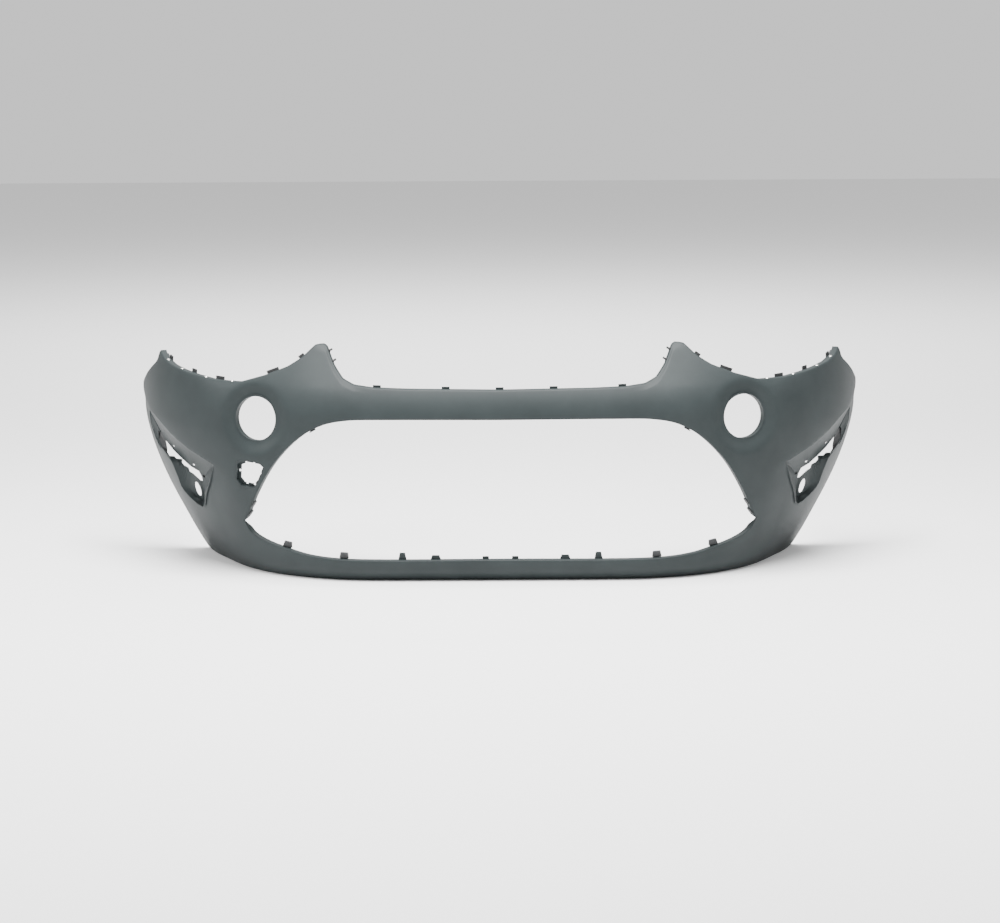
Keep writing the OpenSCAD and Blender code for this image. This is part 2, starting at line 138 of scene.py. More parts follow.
def inset(u, z):
    centre = 27 + 0.75 * (z - 450) if z > 450 else 0.0042 * max(z - 370, 0) ** 2
    centre += 12 * (max(370 - z, 0) / 325) ** 2 + 25 * max(1 - z / 40, 0) ** 2
    side = 15 + 0.0122 * max(350 - z, 0) ** 1.6 + 0.0009 * max(z - 350, 0) ** 2
    return centre + (side - centre) * ease(300, 900, abs(u))


def raw(u, z, depth=0.0):
    v = abs(u)
    i = min(int(v / 5), 259)
    s = v / 5 - i
    px = planPoints[i][0] * (1 - s) + planPoints[i + 1][0] * s
    py = planPoints[i][1] * (1 - s) + planPoints[i + 1][1] * s
    a = math.radians(heading(u))
    back = inset(u, z) + depth
    return Vector((math.copysign(1, u) * (px - math.sin(a) * back), py + math.cos(a) * back, z))


middleY = (raw(0, 370).y + raw(cover["endU"], 408).y) / 2


def at(u, z, depth=0.0):
    p = raw(u, z, depth)
    return Vector((p.x, p.y - middleY, p.z)) * mm


def lean(u, z):
    v, shear = abs(u), cover["shearU"]
    if v <= shear:
        return u
    return math.copysign(shear + (v - shear) * (curve(archLine, min(z, 408)) - shear)
                         / (cover["endU"] - shear), u)


def dish(u, z):
    r = math.hypot(abs(u) - cover["lampAt"][0], z - cover["lampAt"][1])
    return 14 * (1 - ease(cover["lampRadius"], 88, r))


def place(u, z, depth=0.0):
    return at(lean(u, z), z, depth + dish(u, z))


def lineSlope(points, u):
    return (straight(points, abs(u) + 4) - straight(points, abs(u) - 4)) / 8


def stretch(points, u):
    return min(math.hypot(1, lineSlope(points, u)), 2.6)


def topZ(u):
    v = abs(u)  # corners of the edge are eased over a few millimetres
    return (straight(topEdge, v - 3) + 2 * straight(topEdge, v) + straight(topEdge, v + 3)) / 4 \
        if v > 4 else straight(topEdge, v)


def turn(x=0, y=0, z=0):
    return (Matrix.Rotation(math.radians(z), 4, "Z") @ Matrix.Rotation(math.radians(y), 4, "Y")
            @ Matrix.Rotation(math.radians(x), 4, "X"))


def side(u):
    return math.copysign(1, u)


# frame on the outer face: X along the skin, Z outwards
def onSkin(u, z, depth=0.0):
    tilt = math.degrees(math.atan((inset(u, z + 2) - inset(u, z - 2)) / 4))
    return (Matrix.Translation(at(u, z, depth + dish(u, z)))
            @ turn(90, 0, side(u) * heading(u)) @ turn(-tilt))


# frame on an edge: X along it, Y up off it, Z outwards
def onLine(points, u, depth=0.0):
    z = straight(points, abs(u))
    v = lean(u, z)
    return (Matrix.Translation(at(v, z, depth)) @ turn(90, 0, side(u) * heading(v))
            @ turn(0, 0, side(u) * math.degrees(math.atan(lineSlope(points, u)))))


def onTop(u, depth=0.0):
    return onLine(topEdge, u, depth) @ turn(-90)


# frame at the end of the wheel arch flange: Y points to the wheel
def onArch(s, z):
    u = curve(archLine, z)
    slope = math.degrees(math.atan((curve(archLine, z + 5) - curve(archLine, z - 5)) / 10))
    return (Matrix.Translation(at(s * u, z, cover["archFlange"])) @ turn(90, 0, s * heading(u))
            @ turn(0, 0, -s * (90 + slope)))


# small mesh helpers
def meshObject(name, verts, faces, merge=0.0):
    mesh = bpy.data.meshes.new(name)
    mesh.from_pydata([tuple(v) for v in verts], [], faces)
    obj = bpy.data.objects.new(name, mesh)
    bpy.context.scene.collection.objects.link(obj)
    bm = bmesh.new()
    bm.from_mesh(mesh)
    if merge:
        bmesh.ops.remove_doubles(bm, verts=bm.verts, dist=merge)
    bmesh.ops.recalc_face_normals(bm, faces=bm.faces)
    bm.to_mesh(mesh)
    bm.free()
    return obj


def extruded(outline, low, high):
    n = len(outline)
    verts = [Vector((x, y, z)) * mm for z in (low, high) for x, y in outline]
    faces = [list(range(n))[::-1], list(range(n, 2 * n))]
    faces += [[i, (i + 1) % n, n + (i + 1) % n, n + i] for i in range(n)]
    return verts, faces


def boxShape(low, high):
    (a, b, c), (d, e, f) = low, high
    return extruded([(a, b), (d, b), (d, e), (a, e)], c, f)


def discShape(radius, low, high, count=48):
    angles = [2 * math.pi * k / count for k in range(count)]
    return extruded([(radius * math.cos(t), radius * math.sin(t)) for t in angles], low, high)


def solid(name, shape, matrix):
    return meshObject(name, [matrix @ v for v in shape[0]], shape[1])


def bake(obj):
    graph = bpy.context.evaluated_depsgraph_get()
    mesh = bpy.data.meshes.new_from_object(obj.evaluated_get(graph))
    obj.modifiers.clear()
    old = obj.data
    obj.data = mesh
    bpy.data.meshes.remove(old)
    return obj


def carve(obj, tool, how):
    modifier = obj.modifiers.new("cut", "BOOLEAN")
    modifier.operation, modifier.solver, modifier.object = how, "MANIFOLD", tool
    before = len(obj.data.polygons)
    bake(obj)
    if not len(obj.data.polygons):
        raise RuntimeError(f"{tool.name} emptied {obj.name}, which had {before} faces")
    bpy.data.objects.remove(tool)


def soften(obj, width, segments=2, angle=35):
    modifier = obj.modifiers.new("edges", "BEVEL")
    modifier.width, modifier.segments, modifier.limit_method = width * mm, segments, "ANGLE"
    modifier.angle_limit = math.radians(angle)
    modifier.use_clamp_overlap = True
    return bake(obj)


def smoothShade(obj, angle=32):
    for polygon in obj.data.polygons:
        polygon.use_smooth = True
    obj.data.set_sharp_from_angle(angle=math.radians(angle))
    return obj


def coat(obj, material):
    obj.data.materials.clear()
    obj.data.materials.append(material)
    for polygon in obj.data.polygons:
        polygon.material_index = 0


def joined(name, parts):
    verts, faces = [], []
    for shape, matrix in parts:
        base = len(verts)
        verts += [matrix @ v for v in shape[0]]
        faces += [[base + i for i in face] for face in shape[1]]
    return meshObject(name, verts, faces)


# finishes
finishes = {
    "primer": {"low": (0.0145, 0.0190, 0.0196, 1), "high": (0.0195, 0.0250, 0.0256, 1),
               "roughness": (0.46, 0.58), "mottle": 9, "grain": 900, "grainStrength": 0.10,
               "grainDistance": 0.0004, "specular": 0.17, "metallic": 0.0},
    "blackPlastic": {"low": (0.010, 0.011, 0.012, 1), "high": (0.020, 0.021, 0.022, 1),
                     "roughness": (0.50, 0.68), "mottle": 30, "grain": 1400, "grainStrength": 0.35,
                     "grainDistance": 0.0004, "specular": 0.5, "metallic": 0.0},
    "zinc": {"low": (0.50, 0.50, 0.48, 1), "high": (0.64, 0.64, 0.62, 1),
             "roughness": (0.28, 0.46), "mottle": 260, "grain": 1800, "grainStrength": 0.12,
             "grainDistance": 0.0002, "specular": 0.5, "metallic": 1.0},
}


def addNode(tree, kind, **inputs):
    node = tree.nodes.new(kind)
    for name, value in inputs.items():
        node.inputs[name].default_value = value
    return node


def finish(name, settings):
    material = bpy.data.materials.new(name)
    material.use_nodes = True
    tree = material.node_tree
    link = tree.links.new
    shader = tree.nodes["Principled BSDF"]
    shader.inputs["Specular IOR Level"].default_value = settings["specular"]
    shader.inputs["Metallic"].default_value = settings["metallic"]
    coordinates = tree.nodes.new("ShaderNodeTexCoord")
    mottle = addNode(tree, "ShaderNodeTexNoise", Scale=settings["mottle"], Detail=5.0, Roughness=0.55)
    colours = tree.nodes.new("ShaderNodeValToRGB")
    darkest, lightest = colours.color_ramp.elements
    darkest.position, lightest.position = 0.32, 0.68
    darkest.color, lightest.color = settings["low"], settings["high"]
    gloss = tree.nodes.new("ShaderNodeMapRange")
    gloss.inputs["To Min"].default_value, gloss.inputs["To Max"].default_value = settings["roughness"]
    grain = addNode(tree, "ShaderNodeTexNoise", Scale=settings["grain"], Detail=3.0, Roughness=0.6)
    bump = addNode(tree, "ShaderNodeBump", Strength=settings["grainStrength"],
                   Distance=settings["grainDistance"])
    for texture in (mottle, grain):
        link(coordinates.outputs["Object"], texture.inputs["Vector"])
    link(mottle.outputs["Fac"], colours.inputs["Fac"])
    link(colours.outputs["Color"], shader.inputs["Base Color"])
    link(grain.outputs["Fac"], gloss.inputs["Value"])
    link(gloss.outputs["Result"], shader.inputs["Roughness"])
    link(grain.outputs["Fac"], bump.inputs["Height"])
    link(bump.outputs["Normal"], shader.inputs["Normal"])
    return material


primer = finish("sprayedPrimer", finishes["primer"])
blackPlastic = finish("grainedBlackPlastic", finishes["blackPlastic"])
zinc = finish("zincPlatedSteel", finishes["zinc"])
print("finishes made")


# the moulded skin
def reliefDepth(u, z):
    v, depth = abs(u), 0.0
    if 600 < v < 985:  # ledge under the headlamp, leaning back to its edge
        line = straight(ledgeLine, v)
        fade = ease(600, 640, v) * (1 - ease(955, 985, v))
        depth += fade * (0.5 * max(z - line, 0) + 1.2 * ease(line - 3, line + 3, z))
    if v < 420:  # bevel down the inner edge of the horn
        edge = straight(topEdge, v)
        fade = ease(300, 372, v)
        depth += fade * 0.42 * max(13 - (edge - z), 0)
    if v > 640:  # soft roll below the crease over the pocket
        crease = straight(pocketCrease, v)
        below = 1 - ease(crease - 26, crease + 5, z)
        depth += 4.0 * ease(640, 740, v) * below * ease(10, 120, z)
    return depth


def edgeArc(radius, steps=4):
    # (distance in from the edge, depth) from the face round to the flange
    return [(radius * (1 - math.sin(t)), radius * (1 - math.cos(t)))
            for t in [math.pi / 2 * k / steps for k in range(steps + 1)]]


def columnList():
    keys = sorted({0, cover["tipU"], cover["endU"], *[u for u, z in topEdge],
                   *[u for u, z in openingTop if u], *cover["extraColumns"]})
    half = []
    for a, b in zip(keys, keys[1:]):
        n = max(1, round((b - a) / cover["columnStep"]))
        half += [a + (b - a) * k / n for k in range(n)]
    half = [u for u in half if u < cover["endU"] - cover["edgeRadius"]]
    columns = [(u, 0.0) for u in half]
    for inward, depth in edgeArc(cover["edgeRadius"]):  # round the wheel arch edge
        columns.append((cover["endU"] - inward, depth))
    flange = cover["archFlange"]
    columns += [(cover["endU"], flange * 0.5), (cover["endU"], flange)]
    return [(-u, d) for u, d in columns[:0:-1]] + columns


def strip(columns, rowsOf):
    grid = [[place(u, z, max(depth, columnDepth)) for z, depth in rowsOf(u)]
            for u, columnDepth in columns]
    up = len(grid[0])
    verts = [p for column in grid for p in column]
    faces = [[i * up + j, (i + 1) * up + j, (i + 1) * up + j + 1, i * up + j + 1]
             for i in range(len(columns) - 1) for j in range(up - 1)]
    return verts, faces


def upperRows(u):
    v, arc = abs(u), edgeArc(cover["edgeRadius"])
    inside = v < cover["tipU"]
    low = curve(openingTop, v) if inside else cover["tipZ"]
    top = topZ(u)
    kLow = stretch(openingTop, u) if inside else 1
    kTop = stretch(topEdge, u)
    radius = cover["edgeRadius"]
    a = low + radius * kLow if inside else low
    b = top - radius * kTop
    rows = []
    if inside:
        flange = cover["openingFlange"]
        rows += [(low, flange), (low, flange * 0.5)]
        rows += [(low + inward * kLow, depth) for inward, depth in arc[::-1]]
    else:
        rows += [(low, reliefDepth(u, low))] * (2 + len(arc))
    n = cover["upperRows"]
    for k in range(1, n):
        z = a + (b - a) * k / n
        rows.append((z, reliefDepth(u, z)))
    base = reliefDepth(u, b)
    rows += [(top - inward * kTop, max(depth, min(base + depth, cover["topFlange"])))
             for inward, depth in arc]
    rows += [(top, cover["topFlange"] * 0.6), (top, cover["topFlange"])]
    return rows


def lowerRows(u):
    v, arc = abs(u), edgeArc(cover["edgeRadius"])
    inside = v < cover["tipU"]
    high = curve(openingBottom, v) if inside else cover["tipZ"]
    kHigh = stretch(openingBottom, u) if inside else 1
    radius, rise, flange = cover["edgeRadius"], cover["bottomRise"], cover["bottomFlange"]
    rows = [(rise, flange), (rise * 0.5, flange * 0.5), (0.2, radius * 1.6)]
    rows += [(inward, depth) for inward, depth in arc[::-1]]
    a, b = radius, (high - radius * kHigh if inside else high)
    n = cover["lowerRows"]
    for k in range(1, n):
        z = a + (b - a) * k / n
        rows.append((z, reliefDepth(u, z) if v > 640 else 0.0))
    if inside:
        rows += [(high - inward * kHigh, depth) for inward, depth in arc]
        rows += [(high, cover["openingFlange"] * 0.5), (high, cover["openingFlange"])]
    else:
        rows += [(high, reliefDepth(u, high))] * (2 + len(arc))
    return rows


def resampled(ring, count):
    out = []
    for k in range(count):
        t = k * (len(ring) - 1) / (count - 1)
        i = min(int(t), len(ring) - 2)
        s = t - i
        p0, p1, p2, p3 = ring[max(i - 1, 0)], ring[i], ring[i + 1], ring[min(i + 2, len(ring) - 1)]
        out.append([0.5 * (2 * b + (c - a) * s + (2 * a - 5 * b + 4 * c - d) * s * s
                           + (3 * b - a - 3 * c + d) * s**3) for a, b, c, d in zip(p0, p1, p2, p3)])
    return out


# space of the side pocket, or the block its walls are cut from
def pocketSolid(name, s, grow, levels, count=25):
    upper, lower = resampled(pocketUpper, count), resampled(pocketLower, count)
    ring = upper + lower[::-1]
    n = len(ring)

    def outward(u, z, amount):
        du, dz = u - pocketMiddle[0], z - pocketMiddle[1]
        length = math.hypot(du, dz) or 1
        return u + du / length * amount, z + dz / length * amount

    verts = []
    for flare, depth, share in levels:  # share 0 is the mouth's outline, 1 the floor's
        for mu, mz, fu, fz, fd in ring:
            a, b = outward(mu, mz, grow + flare), outward(fu, fz, grow + flare)
            u, z = a[0] + (b[0] - a[0]) * share, a[1] + (b[1] - a[1]) * share
            verts.append(at(s * u, z, depth + (fd + grow * 0.75) * share))
    faces, last = [], (len(levels) - 1) * n
    for i in range(count - 1):
        a, b, c, d = i, i + 1, n - 2 - i, n - 1 - i
        faces += [[a, b, d], [b, c, d], [last + a, last + c, last + b], [last + a, last + d, last + c]]
    for level in range(len(levels) - 1):
        for m in range(n):
            p, q = level * n + m, level * n + (m + 1) % n
            faces += [[p, p + n, q + n], [p, q + n, q]]
    return meshObject(name, verts, faces)


def fromFront(name, s, outline, low, high):
    # outline in x and z, cut along Y
    n = len(outline)
    verts = [Vector((s * x, y, z)) * mm for y in (low, high) for x, z in outline]
    faces = [list(range(n))[::-1], list(range(n, 2 * n))]
    faces += [[i, (i + 1) % n, n + (i + 1) % n, n + i] for i in range(n)]
    return meshObject(name, verts, faces)


# tabs moulded on the edges, by their distance from the centre
tabs = {
    "lip": [(34, 8, 7, 6), (149, 13, 8, 9), (226, 10, 6, 15)],  # place, half foot, half tip, height
    "bar": [123, 281], "barHeight": 5, "capped": [363, 510], "cappedHeight": 12,
    "halfWidth": 9, "root": -3, "front": 0.4, "back": 3.4, "nearCentre": 0.001,
}
towEye = {
    "seat": 1.12, "hole": 0.8, "notchHalf": 3,
    "notches": [(-11, 25), (9, 24), (-29, 5), (-14, -25), (5, -27), (25, -1)],
}
# levels are flare, depth and share of the way from the mouth to the floor
pocket = {
    "block": [(0, 1.2, 0), (0, 1.2, 1)], "blockGrow": 4,
    "space": [(4, -12, 0), (2.6, 0, 0), (1.0, 1.0, 0.01), (0, 2.6, 0.04), (0, 0, 1)],
    "ovalAt": (724, 178), "ovalRadii": (7, 18.2), "ovalTurn": -14, "ovalPoints": 40,
    "holes": [(703, -48, 216), (729, -30, 241), (784, 22, 278)], "holeHalf": 3,
}
screwHole = 3.25


def skinWalls():
    columns = columnList()
    upperVerts, upperFaces = strip(columns, upperRows)
    lowerVerts, lowerFaces = strip(columns, lowerRows)
    base = len(upperVerts)
    skin = meshObject("bumperSkin", upperVerts + lowerVerts,
                      upperFaces + [[base + i for i in f] for f in lowerFaces], merge=2e-5)
    bm = bmesh.new()
    bm.from_mesh(skin.data)
    bmesh.ops.dissolve_degenerate(bm, edges=bm.edges, dist=1e-5)
    bmesh.ops.recalc_face_normals(bm, faces=bm.faces)
    front = min(bm.faces, key=lambda f: f.calc_center_median().y)
    if front.normal.y > 0:
        bmesh.ops.reverse_faces(bm, faces=bm.faces)
    bm.to_mesh(skin.data)
    bm.free()
    modifier = skin.modifiers.new("wall", "SOLIDIFY")
    modifier.thickness, modifier.offset = cover["wall"] * mm, -1
    modifier.use_even_offset = False
    bake(skin)
    # the wall's thickness pushes a few corner points, where flanges meet, past the CAD
    # solid by up to 3 mm below and 2 mm behind: they are held to its box
    for vertex in skin.data.vertices:
        vertex.co.z = max(vertex.co.z, 0.0)
        vertex.co.y = min(vertex.co.y, cadHigh.y)
    print("skin walls:", len(skin.data.polygons), "faces")
    return skin


def addTabs(skin):
    w, root, front, rear = tabs["halfWidth"], tabs["root"], tabs["front"], tabs["back"]
    barTab = boxShape((-w, root, front), (w, tabs["barHeight"], rear))
    cappedTab = boxShape((-w, root, front), (w, tabs["cappedHeight"], rear))
    for s in (-1, 1):
        for u, foot, tip, high in tabs["lip"]:
            m = onLine(openingBottom, s * u, cover["openingFlange"])
            outline = [(-foot, root), (foot, root), (tip, high), (-tip, high)]
            carve(skin, solid("lipTab", extruded(outline, front, rear), m), "UNION")
        for u in tabs["bar"]:
            carve(skin, solid("barTab", barTab, onLine(topEdge, s * u, cover["topFlange"])), "UNION")
        for u in tabs["capped"]:
            m = onLine(openingBottom, s * u, cover["openingFlange"])
            carve(skin, solid("capTab", cappedTab, m), "UNION")
    m = onLine(topEdge, tabs["nearCentre"], cover["topFlange"])
    carve(skin, solid("barTab", barTab, m), "UNION")


def scaledOutline(outline, factor):
    return [(x * factor, y * factor) for x, y in outline]


def cutTowEye(skin):
    tow = onSkin(*cover["towAt"])
    seat = extruded(scaledOutline(towOutline, towEye["seat"]), -13, -1.5)
    carve(skin, solid("towSeat", seat, tow), "UNION")
    carve(skin, solid("towMouth", extruded(towOutline, -10, 20), tow), "DIFFERENCE")
    hole = extruded(scaledOutline(towOutline, towEye["hole"]), -30, 0)
    carve(skin, solid("towHole", hole, tow), "DIFFERENCE")
    h = towEye["notchHalf"]
    for x, y in towEye["notches"]:
        notch = boxShape((x - h, y - h, -30), (x + h, y + h, -8))
        carve(skin, solid("towNotch", notch, tow), "DIFFERENCE")


def ovalOutline():
    (x, z), (across, along) = pocket["ovalAt"], pocket["ovalRadii"]
    c, n = math.cos(math.radians(pocket["ovalTurn"])), math.sin(math.radians(pocket["ovalTurn"]))
    points = []
    for k in range(pocket["ovalPoints"]):
        t = 2 * math.pi * k / pocket["ovalPoints"]
        points.append((x + across * math.cos(t) * c - along * math.sin(t) * n,
                       z + across * math.cos(t) * n + along * math.sin(t) * c))
    return points


def cutPocket(skin, s):
    carve(skin, pocketSolid("pocketSpace", s, 0, pocket["space"]), "DIFFERENCE")
    carve(skin, fromFront("pocketSlot", s, slotOutline, -120, 160), "DIFFERENCE")
    carve(skin, fromFront("pocketOval", s, ovalOutline(), -60, 60), "DIFFERENCE")
    h = pocket["holeHalf"]
    for x, y, z in pocket["holes"]:
        m = Matrix.Translation(Vector((s * x, y, z)) * mm)
        carve(skin, solid("pocketHole", boxShape((-h, -14, -h), (h, 14, h)), m), "DIFFERENCE")


def cutScrewHoles(skin):
    for s in (-1, 1):
        for z in archScrews:
            m = onArch(s, z) @ Matrix.Translation(Vector((0, -14, 10)) * mm) @ turn(-90)
            carve(skin, solid("archHole", discShape(screwHole, 0, 20, 28), m), "DIFFERENCE")
    for u in undertrayScrews:
        m = Matrix.Translation(at(u, 0, 28))
        carve(skin, solid("undertrayHole", discShape(screwHole, -1, 10, 24), m), "DIFFERENCE")


def makeSkin():
    skin = skinWalls()
    lampU, lampZ = cover["lampAt"]
    radius, collar = cover["lampRadius"], cover["lampCollar"]
    for s in (-1, 1):
        carve(skin, pocketSolid("pocketBlock", s, pocket["blockGrow"], pocket["block"]), "UNION")
        ring = discShape(radius + cover["wall"], -collar, -3, 96)
        carve(skin, solid("lampCollar", ring, onSkin(s * lampU, lampZ)), "UNION")
    addTabs(skin)
    cutTowEye(skin)
    for s in (-1, 1):
        hole = discShape(radius, -collar - 10, 40, 96)
        carve(skin, solid("lampHole", hole, onSkin(s * lampU, lampZ)), "DIFFERENCE")
        cutPocket(skin, s)
    cutScrewHoles(skin)
    print("skin cut:", len(skin.data.polygons), "faces")
    coat(skin, primer)
    return smoothShade(skin, 28)


skin = makeSkin()


# rivets and screws, set out by a node tree
fastener = {"headRadius": 4.5, "headHeight": 1.6, "headTaper": 0.72, "shankRadius": 2.4,
            "shankLength": 5.8, "rivetRecess": 1.3, "screwRecess": 2.1}


def startTree(name, sockets):
    tree = bpy.data.node_groups.new(name, "GeometryNodeTree")
    for socket, kind in [("Geometry", "NodeSocketGeometry")] + sockets:
        tree.interface.new_socket(socket, in_out="INPUT", socket_type=kind)
    tree.interface.new_socket("Finish", in_out="INPUT", socket_type="NodeSocketMaterial")
    tree.interface.new_socket("Geometry", in_out="OUTPUT", socket_type="NodeSocketGeometry")
    return tree, tree.nodes.new, tree.links.new, tree.nodes.new("NodeGroupInput")


# one copy of the shape on each point, turned as the point says, made real and given its finish
def spreadShape(make, link, given, shape, size=None):
    facing = make("GeometryNodeInputNamedAttribute")
    facing.data_type = "FLOAT_VECTOR"
    facing.inputs["Name"].default_value = "facing"
    rotation = make("FunctionNodeEulerToRotation")
    link(facing.outputs[0], rotation.inputs[0])
    spread = make("GeometryNodeInstanceOnPoints")
    link(given.outputs["Geometry"], spread.inputs["Points"])
    link(shape, spread.inputs["Instance"])
    link(rotation.outputs[0], spread.inputs["Rotation"])
    if size:
        link(size, spread.inputs["Scale"])
    real, colour = make("GeometryNodeRealizeInstances"), make("GeometryNodeSetMaterial")
    link(spread.outputs["Instances"], real.inputs["Geometry"])
    link(real.outputs["Geometry"], colour.inputs["Geometry"])
    link(given.outputs["Finish"], colour.inputs["Material"])
    link(colour.outputs["Geometry"], make("NodeGroupOutput").inputs["Geometry"])


def scaledValue(make, link, value, factor):
    node = make("ShaderNodeMath")
    node.operation = "MULTIPLY"
    node.inputs[1].default_value = factor
    link(value, node.inputs[0])
    return node.outputs[0]


def lifted(make, link, shape, height):
    offset, moved = make("ShaderNodeCombineXYZ"), make("GeometryNodeTransform")
    link(height, offset.inputs["Z"])
    link(shape, moved.inputs["Geometry"])
    link(offset.outputs[0], moved.inputs["Translation"])
    return moved.outputs["Geometry"]


def fastenerTree():
    names = ("Head Radius", "Head Height", "Shank Radius", "Shank Length", "Recess Radius")
    tree, make, link, given = startTree("setFasteners", [(n, "NodeSocketFloat") for n in names])
    head = make("GeometryNodeMeshCone")
    head.inputs["Vertices"].default_value = 28
    head.inputs["Side Segments"].default_value = 3
    link(scaledValue(make, link, given.outputs["Head Radius"], fastener["headTaper"]),
         head.inputs["Radius Top"])
    link(given.outputs["Head Radius"], head.inputs["Radius Bottom"])
    link(given.outputs["Head Height"], head.inputs["Depth"])
    recess = make("GeometryNodeMeshCylinder")
    recess.inputs["Vertices"].default_value = 20
    link(given.outputs["Recess Radius"], recess.inputs["Radius"])
    link(given.outputs["Head Height"], recess.inputs["Depth"])
    dug = make("GeometryNodeMeshBoolean")
    dug.operation = "DIFFERENCE"
    link(head.outputs["Mesh"], dug.inputs["Mesh 1"])
    link(lifted(make, link, recess.outputs["Mesh"], given.outputs["Head Height"]), dug.inputs["Mesh 2"])
    shank = make("GeometryNodeMeshCylinder")
    shank.inputs["Vertices"].default_value = 20
    link(given.outputs["Shank Radius"], shank.inputs["Radius"])
    link(given.outputs["Shank Length"], shank.inputs["Depth"])
    half = scaledValue(make, link, given.outputs["Shank Length"], -0.5)
    both = make("GeometryNodeJoinGeometry")
    link(dug.outputs["Mesh"], both.inputs[0])
    link(lifted(make, link, shank.outputs["Mesh"], half), both.inputs[0])
    spreadShape(make, link, given, both.outputs[0])
    return tree


# the same idea for a piece that is modelled once and set out along an edge
def shapeTree():
    tree, make, link, given = startTree("setClips", [("Clip", "NodeSocketObject"),
                                                     ("Clip Size", "NodeSocketFloat")])
    clip = make("GeometryNodeObjectInfo")
    link(given.outputs["Clip"], clip.inputs["Object"])
    spreadShape(make, link, given, clip.outputs["Geometry"], given.outputs["Clip Size"])
    return tree


def setOut(name, tree, frames, values):
    mesh = bpy.data.meshes.new(name)
    mesh.from_pydata([tuple(m.translation) for m in frames], [], [])
    facing = mesh.attributes.new("facing", "FLOAT_VECTOR", "POINT")
    for item, m in zip(facing.data, frames):
        item.vector = m.to_euler("XYZ")
    obj = bpy.data.objects.new(name, mesh)
    bpy.context.scene.collection.objects.link(obj)
    modifier = obj.modifiers.new("setOut", "NODES")
    modifier.node_group = tree
    for item in tree.interface.items_tree:
        if item.in_out == "INPUT" and item.name in values:
            modifier[item.identifier] = values[item.name]
    bake(obj)
    if not len(obj.data.polygons):
        raise RuntimeError(name + " came out empty")
    return smoothShade(obj, 35)


def finished(obj, slot, *replaced):
    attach(obj, "root")
    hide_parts(*replaced)


fasteners, clips = fastenerTree(), shapeTree()


def fastenerValues(recess):
    return {"Head Radius": fastener["headRadius"] * mm, "Head Height": fastener["headHeight"] * mm,
            "Shank Radius": fastener["shankRadius"] * mm, "Shank Length": fastener["shankLength"] * mm,
            "Recess Radius": recess * mm, "Finish": zinc}


finished(skin, "primed_plastic", "bumper_skin")
for s, word in ((-1, "left"), (1, "right")):
    rivets = setOut("headlampRailRivets_" + word, fasteners,
                    [onTop(s * u, cover["topFlange"] / 2) for u in railRivets],
                    fastenerValues(fastener["rivetRecess"]))
    finished(rivets, "zinc_steel", "headlamp_rail_rivets_" + word)
    screws = setOut("wingBracketScrews_" + word, fasteners,
                    [onTop(s * u, cover["topFlange"] / 2) for u in wingScrews],
                    fastenerValues(fastener["screwRecess"]))
    finished(screws, "zinc_steel", "wing_bracket_screws_" + word)
print("rivets and screws set")

# clips
clip = {
    "grilleAt": [430, 596, 612], "sheet": 1.6, "width": 14, "reach": 12, "edge": 0.35,
    "nutSheet": 1.2, "nutWidth": 16, "archReach": 16, "archBarrel": 10, "trayReach": 20,
    "trayBarrel": 14, "barrelRadius": 5.5, "barrelHeight": 5,
}


# U of sheet pushed over a flange: the flange fills Y 0 to -wall, its end is at Z 0
def clipShape(name, width, reach, sheet, barrelAt=None):
    wall = cover["wall"]
    outline = [(sheet, reach), (sheet, -sheet), (-wall - sheet, -sheet), (-wall - sheet, reach),
               (-wall, reach), (-wall, 0), (0, 0), (0, reach)]
    n = len(outline)
    verts = [Vector((x, y, z)) * mm for x in (-width / 2, width / 2) for y, z in outline]
    faces = [list(range(n)), list(range(n, 2 * n))[::-1]]
    faces += [[i, n + i, n + (i + 1) % n, (i + 1) % n] for i in range(n)]
    obj = meshObject(name, verts, faces)
    soften(obj, clip["edge"])
    if barrelAt is not None:
        turned = Matrix.Translation(Vector((0, sheet / 2, barrelAt)) * mm) @ turn(-90)
        barrel = discShape(clip["barrelRadius"], 0, clip["barrelHeight"], 28)
        carve(obj, solid("barrel", barrel, turned), "UNION")
        through = Matrix.Translation(Vector((0, -10, barrelAt)) * mm) @ turn(-90)
        carve(obj, solid("thread", discShape(screwHole, 0, 22, 28), through), "DIFFERENCE")
    return obj


grilleClip = clipShape("grilleClipShape", clip["width"], clip["reach"], clip["sheet"])
archNut = clipShape("archNutShape", clip["nutWidth"], clip["archReach"], clip["nutSheet"],
                   clip["archBarrel"])
trayNut = clipShape("trayNutShape", clip["nutWidth"], clip["trayReach"], clip["nutSheet"],
                   clip["trayBarrel"])
atWall = Matrix.Translation(Vector((0, cover["wall"], 0)) * mm)
for s, word in ((-1, "left"), (1, "right")):
    pieces = setOut("grilleClips_" + word, clips,
                    [onLine(openingTop, s * u, cover["openingFlange"]) @ atWall
                     for u in clip["grilleAt"]],
                    {"Clip": grilleClip, "Clip Size": 1.0, "Finish": blackPlastic})
    finished(pieces, "black_plastic", "grille_clips_" + word)
    # turned half round about Z, so that the barrel is away from the wheel
    frames = [onArch(s, z) @ Matrix.Translation(Vector((0, -cover["wall"], 0)) * mm) @ turn(z=180)
              for z in archScrews]
    nuts = setOut("archClipNuts_" + word, clips, frames,
                  {"Clip": archNut, "Clip Size": 1.0, "Finish": zinc})
    finished(nuts, "zinc_steel", "arch_clip_nuts_" + word)
frames = []
rise = math.degrees(math.atan(cover["bottomRise"] / (cover["bottomFlange"] - cover["wall"])))
for u in undertrayScrews:
    p = at(u, 0, cover["bottomFlange"]) + Vector((0, 0, cover["bottomRise"] * mm))
    frames.append(Matrix.Translation(p) @ turn(90 + rise, 0, side(u) * heading(u)) @ atWall)
nuts = setOut("undertrayClipNuts", clips, frames, {"Clip": trayNut, "Clip Size": 1.0, "Finish": zinc})
finished(nuts, "zinc_steel", "undertray_clip_nuts")
